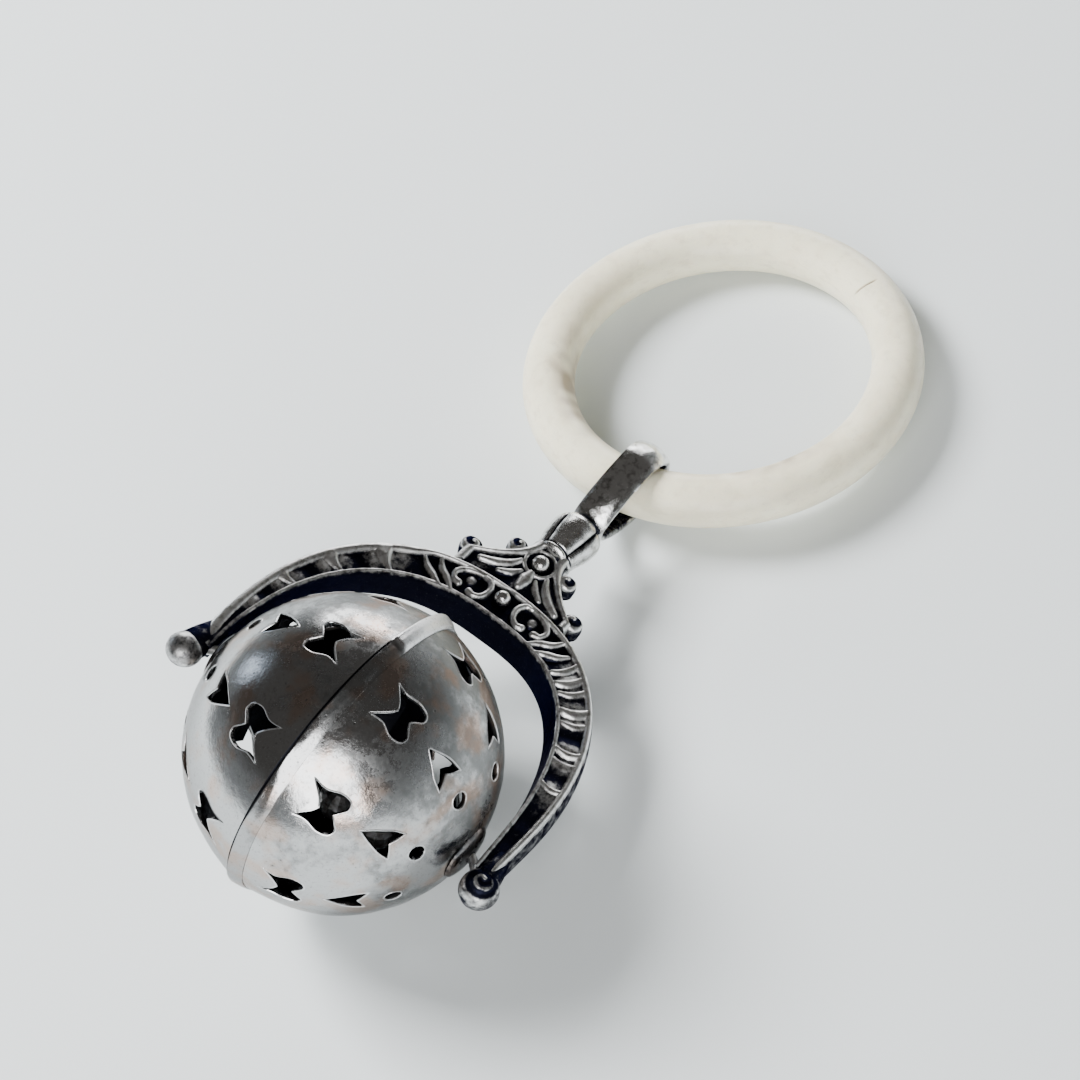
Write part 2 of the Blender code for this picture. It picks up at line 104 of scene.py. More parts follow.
class Nodes:
    """A short way to write a node tree."""

    def __init__(self, name):
        self.material = bpy.data.materials.new(name)
        self.material.use_nodes = True
        self.tree = self.material.node_tree
        self.shader = self.tree.nodes["Principled BSDF"]
        place = self.tree.nodes.new("ShaderNodeTexCoord").outputs["Object"]
        self.place = self.vector("MULTIPLY", place, (1000.0, 1000.0, 1000.0))

    def link(self, value, socket):
        if isinstance(value, bpy.types.NodeSocket):
            self.tree.links.new(value, socket)
        else:
            socket.default_value = value

    def vector(self, operation, a, b):
        node = self.tree.nodes.new("ShaderNodeVectorMath")
        node.operation = operation
        self.link(a, node.inputs[0])
        self.link(b, node.inputs[1])
        return node.outputs[0]

    def dot(self, a, b):
        node = self.tree.nodes.new("ShaderNodeVectorMath")
        node.operation = "DOT_PRODUCT"
        self.link(a, node.inputs[0])
        self.link(b, node.inputs[1])
        return node.outputs["Value"]

    def math(self, operation, a, b=0.0, clamp=False):
        node = self.tree.nodes.new("ShaderNodeMath")
        node.operation = operation
        node.use_clamp = clamp
        self.link(a, node.inputs[0])
        self.link(b, node.inputs[1])
        return node.outputs[0]

    def noise(self, scale, detail=4.0, rough=0.55, place=None, distortion=0.0):
        node = self.tree.nodes.new("ShaderNodeTexNoise")
        node.inputs["Scale"].default_value = scale
        node.inputs["Detail"].default_value = detail
        node.inputs["Roughness"].default_value = rough
        node.inputs["Distortion"].default_value = distortion
        self.link(place if place is not None else self.place, node.inputs["Vector"])
        return node.outputs["Fac"]

    def cells(self, scale, place=None):
        node = self.tree.nodes.new("ShaderNodeTexVoronoi")
        node.inputs["Scale"].default_value = scale
        self.link(place if place is not None else self.place, node.inputs["Vector"])
        return node.outputs["Distance"]

    def ramp(self, value, low, high, start=0.0, end=1.0):
        node = self.tree.nodes.new("ShaderNodeMapRange")
        node.interpolation_type = "SMOOTHSTEP"
        self.link(value, node.inputs["Value"])
        for name, number in (("From Min", low), ("From Max", high), ("To Min", start), ("To Max", end)):
            node.inputs[name].default_value = number
        return node.outputs["Result"]

    def mix(self, share, a, b):
        node = self.tree.nodes.new("ShaderNodeMix")
        node.data_type = "RGBA"
        self.link(share, node.inputs["Factor"])
        for value, socket in ((a, node.inputs[6]), (b, node.inputs[7])):
            self.link(value if isinstance(value, bpy.types.NodeSocket) else (*value, 1.0), socket)
        return node.outputs[2]

    def attribute(self, name):
        node = self.tree.nodes.new("ShaderNodeAttribute")
        node.attribute_name = name
        return node.outputs["Fac"]

    def bump(self, height, strength, distance, normal=None):
        node = self.tree.nodes.new("ShaderNodeBump")
        node.inputs["Strength"].default_value = strength
        node.inputs["Distance"].default_value = distance
        self.link(height, node.inputs["Height"])
        if normal is not None:
            self.link(normal, node.inputs["Normal"])
        return node.outputs["Normal"]

    def finish(self, colour, metallic, roughness, normal=None, **more):
        self.link(colour, self.shader.inputs["Base Color"])
        self.link(metallic, self.shader.inputs["Metallic"])
        self.link(roughness, self.shader.inputs["Roughness"])
        if normal is not None:
            self.link(normal, self.shader.inputs["Normal"])
        for name, value in more.items():
            self.link(value, self.shader.inputs[name.replace("_", " ")])
        return self.material


def ball_silver():
    """Thin polished silver, clouded with a warm grey patina and finely scratched, with painted shade heavier
    towards one side and near-black on the inside of the shell.
    """
    n = Nodes("ball_silver_look")
    broad = n.noise(0.16, 3.0, 0.5, distortion=0.6)
    mottle = n.noise(0.75, 6.0, 0.65)
    specks = n.noise(3.4, 5.0, 0.7)
    cloud = n.math("ADD", n.math("MULTIPLY", broad, 0.62), n.math("MULTIPLY", mottle, 0.38))
    from_centre = n.vector("SUBTRACT", n.place, tuple(CENTRE * 1000))
    # painted shade: the patina is made heavier towards one side of the ball, the right of the view, away from
    # the key light
    painted_shade_side = n.dot(from_centre, (1.05, -0.75, -0.10))
    cloud = n.math("ADD", cloud, n.math("MULTIPLY", painted_shade_side, 0.0075))
    tarnish = n.ramp(cloud, 0.43, 0.66)
    warm = n.ramp(n.noise(0.22, 3.0, 0.5, n.vector("ADD", n.place, (31.0, 7.0, 3.0))), 0.48, 0.64)
    dull = n.mix(warm, (0.21, 0.215, 0.215), (0.27, 0.205, 0.17))
    worn = n.attribute("polish")
    aged = n.mix(warm, (0.52, 0.525, 0.53), (0.54, 0.45, 0.40))
    clean = n.mix(worn, aged, (0.93, 0.93, 0.94))
    colour = n.mix(n.math("MULTIPLY", tarnish, n.math("SUBTRACT", 1.0, worn)), clean, dull)
    colour = n.mix(n.ramp(specks, 0.54, 0.72, 0.0, 0.7), colour, (0.17, 0.16, 0.15))
    pits = n.ramp(n.cells(0.75), 0.05, 0.13, 1.0, 0.0)
    pits = n.math("MULTIPLY", pits, n.ramp(mottle, 0.5, 0.62))
    colour = n.mix(n.math("MULTIPLY", pits, 0.8), colour, (0.10, 0.10, 0.10))
    # near-black by the attribute: painted shade inside the shell, a dark line at the seam band's left edge,
    # and darker bosses
    colour = n.mix(n.attribute("tarnish"), colour, (0.016, 0.017, 0.022))
    rough = n.math("ADD", n.ramp(tarnish, 0.0, 1.0, 0.13, 0.34), n.ramp(specks, 0.4, 0.7, 0.0, 0.10))
    scratch_place = n.vector("MULTIPLY", n.place, (0.25, 2.6, 1.1))
    scratches = n.ramp(n.noise(1.6, 3.0, 0.6, scratch_place), 0.60, 0.66)
    normal = n.bump(mottle, 0.10, 0.0004)
    normal = n.bump(scratches, 0.05, 0.0001, normal)
    normal = n.bump(n.math("SUBTRACT", 1.0, pits), 0.25, 0.0001, normal)
    return n.finish(colour, 1.0, rough, normal, Specular_Tint=(0.55, 0.55, 0.55, 1.0))


def cast_silver():
    """Chased silver: bright where it is rubbed, blue-black where the oxide stays in the hollows and where
    painted shade lies on inner walls, sides and undersides.
    """
    n = Nodes("cast_silver_look")
    mottle = n.noise(1.1, 6.0, 0.65)
    fine = n.noise(5.5, 4.0, 0.6)
    oxide_and_shade = n.attribute("tarnish")
    ragged = n.math("ADD", oxide_and_shade, n.math("MULTIPLY", n.math("SUBTRACT", mottle, 0.5), 0.9), clamp=True)
    dark = n.ramp(ragged, 0.22, 0.72)
    rubbed = n.mix(n.ramp(mottle, 0.45, 0.68), (0.80, 0.80, 0.79), (0.44, 0.43, 0.41))
    colour = n.mix(dark, rubbed, (0.010, 0.011, 0.022))
    colour = n.mix(n.ramp(fine, 0.60, 0.74, 0.0, 0.5), colour, (0.12, 0.12, 0.12))
    rough = n.math("ADD", n.ramp(dark, 0.0, 1.0, 0.32, 0.42), n.ramp(fine, 0.4, 0.7, 0.0, 0.10))
    rough = n.math("SUBTRACT", rough, n.math("MULTIPLY", n.attribute("polish"), 0.19))
    normal = n.bump(mottle, 0.22, 0.0003)
    normal = n.bump(fine, 0.12, 0.0001, normal)
    edge = n.mix(dark, (1.0, 1.0, 1.0), (0.30, 0.30, 0.36))  # keeps the oxide and the painted shade dark where they are seen aslant
    return n.finish(colour, 1.0, rough, normal, Specular_Tint=edge)


def old_ivory():
    """Aged ivory-like ring: cream with grey clouds, faint grain along it and a few dark checks."""
    n = Nodes("ring_ivory_look")
    clouds = n.noise(0.11, 4.0, 0.6, distortion=0.4)
    grain = n.noise(0.55, 5.0, 0.6, n.vector("MULTIPLY", n.place, (1.0, 1.0, 3.0)))
    fine = n.noise(4.0, 3.0, 0.6)
    colour = n.mix(n.ramp(clouds, 0.36, 0.66), (0.97, 0.915, 0.70), (0.86, 0.80, 0.60))
    colour = n.mix(n.ramp(grain, 0.48, 0.72, 0.0, 0.55), colour, (0.74, 0.68, 0.50))
    colour = n.mix(n.ramp(fine, 0.58, 0.75, 0.0, 0.25), colour, (0.48, 0.45, 0.39))
    colour = n.mix(n.attribute("stain"), colour, (0.30, 0.22, 0.13))
    rough = n.ramp(grain, 0.35, 0.7, 0.30, 0.44)
    normal = n.bump(fine, 0.06, 0.0002)
    return n.finish(
        colour, 0.0, rough, normal,
        Subsurface_Weight=0.18, Subsurface_Radius=(0.0020, 0.0014, 0.0008),
        Coat_Weight=0.12, Coat_Roughness=0.25,
    )


def plain_steel():
    """The shot inside the ball."""
    n = Nodes("pellet_steel_look")
    mottle = n.noise(1.2, 5.0, 0.6)
    colour = n.mix(n.ramp(mottle, 0.4, 0.65), (0.45, 0.45, 0.46), (0.22, 0.21, 0.20))
    return n.finish(colour, 1.0, n.ramp(mottle, 0.3, 0.7, 0.3, 0.5), n.bump(mottle, 0.15, 0.0002))


BALL_SILVER = ball_silver()
CAST_SILVER = cast_silver()
IVORY = old_ivory()
STEEL = plain_steel()


# Meshes from grids of points


def add_piece(name, mesh, look, slot, body, *nodes, sharp=35.0):
    """Puts a mesh on a body, with its look, in place of those CAD nodes."""
    mesh.materials.clear()
    mesh.materials.append(look)
    mesh.shade_smooth()
    mesh.set_sharp_from_angle(angle=math.radians(sharp))
    made = bpy.data.objects.new(name, mesh)
    PIECES.objects.link(made)
    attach(made, body)
    if nodes:
        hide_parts(*nodes)
    return made


def mesh_from(name, points, faces, place, **values):
    """A mesh of points in millimetres in the axes of `place`, with a number per point for each value."""
    mesh = bpy.data.meshes.new(name)
    mesh.from_pydata([tuple(p) for p in points], [], faces)
    for label, numbers in values.items():
        layer = mesh.attributes.new(label, "FLOAT", "POINT")
        layer.data.foreach_set("value", np.asarray(numbers, np.float32))
    mesh.transform(place)
    work = bmesh.new()
    work.from_mesh(mesh)
    bmesh.ops.remove_doubles(work, verts=work.verts, dist=1e-7)
    bmesh.ops.recalc_face_normals(work, faces=work.faces)
    work.to_mesh(mesh)
    work.free()
    return mesh


def sleeve_faces(rows, columns, closed_rows, capped):
    """Faces of a grid whose columns run round, optionally joined end to end or capped."""
    faces = []
    for r in range(rows if closed_rows else rows - 1):
        s = (r + 1) % rows
        for c in range(columns):
            d = (c + 1) % columns
            faces.append((r * columns + c, r * columns + d, s * columns + d, s * columns + c))
    if capped:
        faces.append(tuple(range(columns)))
        faces.append(tuple((rows - 1) * columns + c for c in range(columns)))
    return faces


def sleeve(name, grid, place, closed_rows=False, capped=True, **values):
    """One mesh from a grid of points."""
    grid = np.asarray(grid, float)
    rows, columns = grid.shape[:2]
    faces = sleeve_faces(rows, columns, closed_rows, capped and not closed_rows)
    flat = {label: np.asarray(numbers).reshape(-1) for label, numbers in values.items()}
    return mesh_from(name, grid.reshape(-1, 3), faces, place, **flat)


def tube_along(points, radius, closed, sides=8):
    """Rings of points round a line, as a grid."""
    points = [Vector(p) for p in points]
    count = len(points)
    grid = []
    side = None
    for i, point in enumerate(points):
        ahead = points[(i + 1) % count] if closed or i + 1 < count else point
        behind = points[i - 1] if closed or i > 0 else point
        along = (ahead - behind).normalized()
        if side is None:
            side = along.orthogonal().normalized()
        side = (side - along * side.dot(along)).normalized()
        other = along.cross(side)
        thick = radius(i / max(1, count - 1)) if callable(radius) else radius
        ring = []
        for k in range(sides):
            a = 2 * math.pi * k / sides
            ring.append(point + (side * math.cos(a) + other * math.sin(a)) * thick)
        grid.append(ring)
    return grid


def joined(name, grids, place, closed_rows, capped=True, **values):
    """Several sleeves in one mesh."""
    points, faces = [], []
    for grid in grids:
        grid = np.asarray(grid, float)
        rows, columns = grid.shape[:2]
        base = len(points)
        for face in sleeve_faces(rows, columns, closed_rows, capped and not closed_rows):
            faces.append(tuple(base + i for i in face))
        points.extend(grid.reshape(-1, 3))
    flat = {label: np.full(len(points), number) for label, number in values.items()}
    return mesh_from(name, points, faces, place, **flat)


def wander(point, scale, seed=0.0):
    """Smooth noise from -1 to 1 at a point in millimetres."""
    return noise.noise(Vector(point) * scale + Vector((seed, seed * 0.7, -seed)))


# Ball


def spline_point(a, b, c, d, t):
    return tuple(
        0.5 * (2 * q + (r - p) * t + (2 * p - 5 * q + 4 * r - s) * t * t + (3 * q - p - 3 * r + s) * t ** 3)
        for p, q, r, s in zip(a, b, c, d)
    )


def smooth_outline(half, fine=6):
    """Mirrors half an outline, given as smooth runs of points between its sharp corners."""
    points = []
    for run in half:
        for i in range(len(run) - 1):
            before, after = run[max(i - 1, 0)], run[min(i + 2, len(run) - 1)]
            points += [spline_point(before, run[i], run[i + 1], after, k / fine) for k in range(fine)]
    points.append(half[-1][-1])
    return points + [(-x, y) for x, y in reversed(points[1:-1])]


BUTTERFLY = smooth_outline((
    ((0.0, -0.3), (0.9, -0.85), (2.35, -2.3)),
    ((2.35, -2.3), (2.05, -0.7), (2.5, 0.9), (2.2, 2.2), (1.3, 2.5), (0.55, 1.9), (0.0, 1.45)),
))
HEART = smooth_outline((
    ((0.0, -2.5), (0.85, -0.9), (1.5, 0.6), (1.75, 2.2)),
    ((1.75, 2.2), (0.9, 1.75), (0.0, 1.2)),
))
PINHOLE = [(math.cos(math.radians(a)), math.sin(math.radians(a))) for a in range(0, 360, 12)]


def openings(side, turn):
    """Each opening's outline, as directions from the ball's centre. Sawn by hand, so no two match."""
    for k in range(8):
        for kind, (outline, lat) in enumerate(((BUTTERFLY, 17.5), (HEART, 41.5), (PINHOLE, 58.0))):
            lat = math.radians(lat)
            lon = math.radians(turn + 45.0 * k)
            up = side * math.sin(lat)
            out = Vector((math.cos(lat) * math.cos(lon), up, math.cos(lat) * math.sin(lon)))
            east = Vector((-math.sin(lon), 0.0, math.cos(lon)))
            tilt = -math.sin(lat)
            north = Vector((tilt * math.cos(lon), side * math.cos(lat), tilt * math.sin(lon)))
            seed = k * 3.1 + kind * 17.0 + side * 5.0
            shape = []
            for x, y in outline:
                x += 0.09 * wander((x, y, seed), 0.55, 3.0)
                y += 0.09 * wander((x, y, seed), 0.55, 9.0)
                shape.append((out * BALL_R + east * x + north * y) / BALL_R)
            yield shape


def dent(direction):
    """How far the hand-raised surface strays from a true sphere: it rises to a ridge at the seam."""
    d = Vector(direction).normalized() * BALL_R
    ridge = 0.40 * math.exp(-abs(d.y) / 3.6)
    return ridge + 0.075 * wander(d, 0.13, 2.0) + 0.030 * wander(d, 0.34, 5.0)


def cup(side_name, side):
    """One pierced half: a spun shell with a thickened lip round each opening."""
    around, rows = 144, 34
    profile = []
    for radius, order in ((BALL_R, range(rows + 1)), (BALL_R - SHELL, range(rows, -1, -1))):
        start = math.asin((BAND_HALF - 0.05) / radius)
        stop = math.acos(0.55 / radius)
        for k in order:
            angle = start + (stop - start) * k / rows
            profile.append((radius, angle))
    grid = []
    for s in range(around):
        turn = 2 * math.pi * s / around
        ring = []
        for radius, angle in profile:
            flat = math.cos(angle)
            d = Vector((flat * math.cos(turn), side * math.sin(angle), flat * math.sin(turn)))
            ring.append(d * (radius + dent(d)))
        grid.append(ring)
    shell = sleeve("ball_half_" + side_name + "_look", grid, MM, closed_rows=True)
    body = bpy.data.objects.new("shell", shell)
    PIECES.objects.link(body)
    work = bmesh.new()
    rims = []
    for shape in openings(side, PATTERN_TURN[side_name]):
        inner = [work.verts.new(p * (BALL_R - 1.6) * 0.001) for p in shape]
        outer = [work.verts.new(p * (BALL_R + 0.8) * 0.001) for p in shape]
        work.faces.new(inner)
        work.faces.new(outer)
        for i in range(len(shape)):
            j = (i + 1) % len(shape)
            work.faces.new((inner[i], inner[j], outer[j], outer[i]))
        rims.append(tube_along([p.normalized() * (BALL_R - 0.07 + dent(p)) for p in shape], 0.11, True, 8))
    bmesh.ops.recalc_face_normals(work, faces=work.faces)
    tool_mesh = bpy.data.meshes.new("saw")
    work.to_mesh(tool_mesh)
    work.free()
    tool = bpy.data.objects.new("saw", tool_mesh)
    PIECES.objects.link(tool)
    cut = body.modifiers.new("cut", "BOOLEAN")
    cut.operation = "DIFFERENCE"
    cut.solver = "EXACT"
    cut.object = tool
    bpy.context.view_layer.update()
    pierced = bpy.data.meshes.new_from_object(body.evaluated_get(bpy.context.evaluated_depsgraph_get()))
    bpy.data.objects.remove(body)
    bpy.data.objects.remove(tool)
    points = np.empty(len(pierced.vertices) * 3, np.float32)
    pierced.vertices.foreach_get("co", points)
    points = points.reshape(-1, 3) * 1000
    # painted shade: points on the shell's inner face get full darkness, so the inside of the ball renders
    # near-black
    reach = np.linalg.norm(points, axis=1) - np.array([dent(p) for p in points])
    inside = np.clip((BALL_R - 0.42 - reach) / 0.1, 0.0, 1.0)
    layer = pierced.attributes.new("tarnish", "FLOAT", "POINT")
    layer.data.foreach_set("value", inside.astype(np.float32))
    pierced.transform(RATTLE @ MM.inverted())
    node = "ball_half_" + side_name
    add_piece(node + "_look", pierced, BALL_SILVER, "silver_ball", "ball", node, sharp=32)
    lips = joined(f"opening_lips_{side_name}", rims, RATTLE, True, tarnish=0.0, polish=0.6)
    add_piece(f"opening_lips_{side_name}", lips, BALL_SILVER, "silver_ball", "ball")


def seam_band_look():
    """The joining band: a low half-round wire with a raised, rubbed lap and a near-black line along its steep
    left edge.
    """
    around, steps = 360, 36
    grid, dark, bright = [], [], []
    for s in range(around):
        turn = 2 * math.pi * s / around
        degrees = math.degrees(turn)
        lap = min(1.0, max(0.0, LAP_END - degrees) / 1.5) * min(1.0, max(0.0, degrees - LAP_START) / 3)
        ring, shade = [], []
        for k in range(steps):
            a = math.pi * k / (steps - 1)
            drift = 0.07 * wander((math.cos(turn) * 9, math.sin(turn) * 9, 0), 0.35, 4.0)
            lean = 0.5 - 0.5 * math.cos(a)  # 0 on the left cup's side, where the edge is steep, to 1
            rise = 0.74 * min(1.0, max(0.0, lean - 0.17) / 0.06) ** 0.5 * (1 - 0.62 * lean ** 2.2)
            rise *= 1 + 0.16 * wander((math.cos(turn) * 9, math.sin(turn) * 9, k * 0.2), 0.5, 8.0)
            rise += 0.34 * lap * max(0.0, math.sin(a))
            r = BALL_R + 0.10 + rise
            ring.append((r * math.cos(turn), (BAND_HALF + 0.12) * math.cos(a) + drift, r * math.sin(turn)))
            # near-black along the steep left edge, lighter on the rest of the band and lighter again on the
            # rubbed lap
            shade.append((1.0 if lean < 0.24 else 0.22) * (1 - 0.8 * lap))
        ring.append((BAND_IN_R * math.cos(turn), -BAND_HALF, BAND_IN_R * math.sin(turn)))
        ring.append((BAND_IN_R * math.cos(turn), BAND_HALF, BAND_IN_R * math.sin(turn)))
        shade += [1.0, 1.0]
        grid.append(ring)
        dark.append(shade)
        bright.append([0.9 * lap] * len(ring))
    mesh = sleeve("seam_band_look", grid, RATTLE, closed_rows=True, tarnish=dark, polish=bright)
    add_piece("seam_band_look", mesh, BALL_SILVER, "silver_ball", "ball", "seam_band", sharp=60)


def boss_look(side_name, side):
    """A worn washer round the pin hole."""
    rings, around = 12, 72
    inner, outer = 0.75, 3.3
    under = BALL_R + 0.05
    profile, dark = [], []
    for k in range(rings + 1):
        radius = inner + (outer - inner) * k / rings
        profile.append((math.sqrt(under ** 2 - radius ** 2), radius))
        dark.append(0.5)
    for k in range(rings, -1, -1):
        radius = inner + (outer - inner) * k / rings
        thick = 0.52 * (1 - (radius / outer) ** 4) ** 0.5
        profile.append((math.sqrt(under ** 2 - radius ** 2) + thick, radius))
        dark.append(0.9 if thick < 0.2 or k < 2 else 0.68)
    grid = []
    for s in range(around):
        a = 2 * math.pi * s / around
        grid.append([(r * math.cos(a), side * y, r * math.sin(a)) for y, r in profile])
    mesh = sleeve("boss_" + side_name, grid, RATTLE, closed_rows=True, tarnish=[dark] * around)
    node = "pivot_boss_" + side_name
    add_piece(node + "_look", mesh, BALL_SILVER, "silver_ball", "ball", node)


def pin_look(side_name, side):
    """The wire that the ball turns on, bent from the pole down into the knob."""
    knob = Vector((KNOB_X, side * KNOB_Y[side_name], 0))
    start = Vector((0, side * 15.6, 0))
    bend = Vector((0, side * 17.85, 0))
    points = []
    for k in range(9):
        points.append(start.lerp(bend, k / 8 * 0.86))
    a, b = points[-1], bend.lerp(knob, 0.3)
    for k in range(1, 9):
        t = k / 8
        points.append(a * (1 - t) ** 2 + bend * 2 * t * (1 - t) + b * t * t)
    for k in range(1, 7):
        points.append(b.lerp(knob, k / 6 * 0.75))
    grid = tube_along(points, lambda t: 0.55 + 0.22 * max(0.0, t - 0.55) ** 1.5, False, 20)
    mesh = sleeve(f"pin_{side_name}", grid, RATTLE, tarnish=np.full((len(points), 20), 0.25))
    node = "pivot_pin_" + side_name
    add_piece(node + "_look", mesh, CAST_SILVER, "silver_cast", "frame", node)


# Chased relief: heights over a flat face, from strokes and bosses


def rounded(distance, radius, height):
    return height * np.sqrt(np.clip(1 - (distance / radius) ** 2, 0, 1))


def stroke(x, y, points, radii, height):
    """A raised reed along a smooth line through the points, its half-width changing along it."""
    line, widths = [], []
    for i in range(len(points) - 1):
        before, after = points[max(i - 1, 0)], points[min(i + 2, len(points) - 1)]
        for k in range(6):
            line.append(spline_point(before, points[i], points[i + 1], after, k / 6))
            widths.append(radii[i] + (radii[i + 1] - radii[i]) * k / 6)
    line.append(points[-1])
    widths.append(radii[-1])
    best = np.zeros_like(x)
    for (ax, ay), (bx, by), ra, rb in zip(line, line[1:], widths, widths[1:]):
        dx, dy = bx - ax, by - ay
        long = max(dx * dx + dy * dy, 1e-9)
        t = np.clip(((x - ax) * dx + (y - ay) * dy) / long, 0, 1)
        away = np.hypot(x - ax - t * dx, y - ay - t * dy)
        radius = ra + (rb - ra) * t
        best = np.maximum(best, rounded(away, radius, height * np.minimum(1.0, radius / 0.34)))
    return best


def blend_up(heights, soft=0.05):
    """The highest of several heights, with a slightly filled line where they meet."""
    total = heights[0]
    for h in heights[1:]:
        mix = np.clip(0.5 + 0.5 * (h - total) / soft, 0, 1)
        total = total * (1 - mix) + h * mix + soft * mix * (1 - mix)
    return total


RELIEF_DEPTH = 0.85
# Cross ridges on the arms: distance from the crown, half-width and height
RIGHT_RIDGES = (
    (12.1, 0.62, 0.72), (14.0, 0.75, 0.70), (15.7, 0.60, 0.66),
    (18.6, 0.85, 0.80), (20.4, 0.55, 0.62),
    (24.6, 0.55, 0.80), (26.2, 0.85, 0.58),
    (30.0, 0.50, 0.70), (31.6, 0.45, 0.40),
)
LEFT_RIDGES = (
    (12.9, 0.55, 0.42), (15.3, 0.95, 0.88), (17.0, 0.45, 0.50),
    (21.9, 0.88, 0.80), (23.5, 0.42, 0.50),
    (28.4, 0.75, 0.76), (30.0, 0.40, 0.50), (34.5, 0.60, 0.30),
)


def yoke_relief(a, q, width):
    """Heights over the sunk ground of the yoke's face.

    a runs along it from the crown, negative on the left arm, and q runs in from the outer edge.
    """
    s = np.abs(a)
    c = (q - FACE_INSET) / (width - FACE_INSET)
    m = q - 2.4  # from the bead's line
    left = a[0] < 0
    arm = np.clip((s - 9.5) / 3.0, 0, 1)
    arm = arm * arm * (3 - 2 * arm)
    thick_rim = 0.24 * arm if left else 0.08 * arm
    outer_rim = rounded(q - FACE_INSET - 0.28 - thick_rim, 0.42 + thick_rim, 0.80)
    parts = [outer_rim, rounded(width - q - 0.22, 0.34, 0.58)]
    near = [(3.4, -1.30), (2.5, -1.15), (2.0, -0.3), (2.1, 0.6), (2.6, 1.35), (3.4, 1.65), (4.1, 1.45)]
    parts.append(stroke(s, m, near, [0.30, 0.46, 0.54, 0.50, 0.46, 0.52, 0.62], 0.82))
    arch = [(3.1, -1.35), (4.6, -1.30), (5.9, -1.0), (6.7, -0.3), (6.6, 0.6), (5.8, 0.95)]
    parts.append(stroke(s, m, arch, [0.30, 0.40, 0.46, 0.50, 0.48, 0.62], 0.76))
    parts.append(rounded(np.hypot(s - 4.5, m + 0.05), 0.80, 0.56))
    near_leaf = [(6.4, 2.3), (7.3, 1.1), (8.4, 0.0), (8.8, -1.2)]
    parts.append(stroke(s, m, near_leaf, [0.35, 0.62, 0.62, 0.35], 0.66))
    far_leaf = [(8.1, 2.3), (9.3, 1.2), (10.3, 0.2), (10.8, -1.0)]
    parts.append(stroke(s, m, far_leaf, [0.35, 0.66, 0.62, 0.3], 0.62))
    stem = [(7.2, 2.45), (8.4, 2.35), (9.9, 2.2), (11.6, 1.9)]
    parts.append(stroke(s, m, stem, [0.25, 0.36, 0.38, 0.25], 0.55))
    near_ridge = np.zeros_like(s)
    ridges = LEFT_RIDGES if left else RIGHT_RIDGES
    for at, spread, height in ridges:
        bow = 0.75 * (1 - (2 * c - 1) ** 2) - 0.35
        wide = spread * ((1.75 - 1.25 * c) if left else (1.15 - 0.35 * np.abs(2 * c - 1)))
        away = s - at - bow
        away = np.where(away < 0, away / 0.75, away / 1.35)  # steeper on the crown's side
        fade = np.clip(1.3 - 0.75 * c, 0, 1) if left else np.clip(1.35 - np.abs(2 * c - 1) ** 2.5, 0, 1)
        fade = fade * np.clip((q - FACE_INSET) / 0.55, 0, 1)
        soft = np.clip(np.abs(away) / (1.35 * wide), 0, 1) ** 1.5
        parts.append(height * (0.5 + 0.5 * np.cos(math.pi * soft)) * fade)
        near_ridge = np.maximum(near_ridge, np.exp(-((s - at) / 1.6) ** 2))
    swell = np.sqrt(np.clip(1 - 0.9 * (2 * c - 1) ** 2, 0, 1))
    scoop = 0.10 + 0.06 * np.sin(s * 1.9) + (0.10 + 0.26 * near_ridge) * swell
    ground = 0.08 * (1 - arm) + scoop * arm
    relief = blend_up([ground] + parts, 0.06)
    round_bead = np.hypot(s, m)
    pit = np.clip((round_bead - 1.2) / 0.4, 0, 1)
    relief = np.where(round_bead < 1.6, relief * pit, relief)
    return relief * np.clip((width - FACE_INSET) / 2.2, 0.55, 1.0)


def outer_edge(share, side_name):
    side = 1 if side_name == "left" else -1
    straight = 0.16
    half_span = YOKE_HALF_SPAN[side_name]
    if share > 1 - straight:
        drop = (share - (1 - straight)) / straight
        x = YOKE_CENTRE_X + (ARM_END_X - YOKE_CENTRE_X) * drop
        return Vector((x, side * (half_span - ARM_PULL_IN[side_name] * drop ** 2), 0))
    angle = (math.pi / 2) * share / (1 - straight)
    rise = max(0.0, math.cos(angle)) ** (2 / YOKE_POWER)
    y = side * half_span * math.sin(angle) ** (2 / YOKE_POWER)
    return Vector((YOKE_CENTRE_X + YOKE_RISE * rise - YOKE_LEAN * y * rise, y, 0))


def yoke_stations(count):
    """Evenly spaced points of the outer edge, their outward directions, and the arc length from the crown."""
    fine = 1500
    points = [outer_edge(k / fine, "left") for k in range(fine, 0, -1)]
    points += [outer_edge(k / fine, "right") for k in range(fine + 1)]
    travelled = [0.0]
    for a, b in zip(points, points[1:]):
        travelled.append(travelled[-1] + (b - a).length)
    crown = travelled[fine]
    total, at, out = travelled[-1], 0, []
    for k in range(count + 1):
        goal = total * k / count
        while at < len(points) - 2 and travelled[at + 1] < goal:
            at += 1
        step = (goal - travelled[at]) / max(1e-9, travelled[at + 1] - travelled[at])
        point = points[at].lerp(points[at + 1], min(1.0, step))
        low, high = max(at - 40, 0), min(at + 41, len(points) - 1)
        ahead = (points[high] - points[low]).normalized()
        out.append((point, Vector((-ahead.y, ahead.x, 0)), goal - crown, abs(2 * k / count - 1)))
    return out


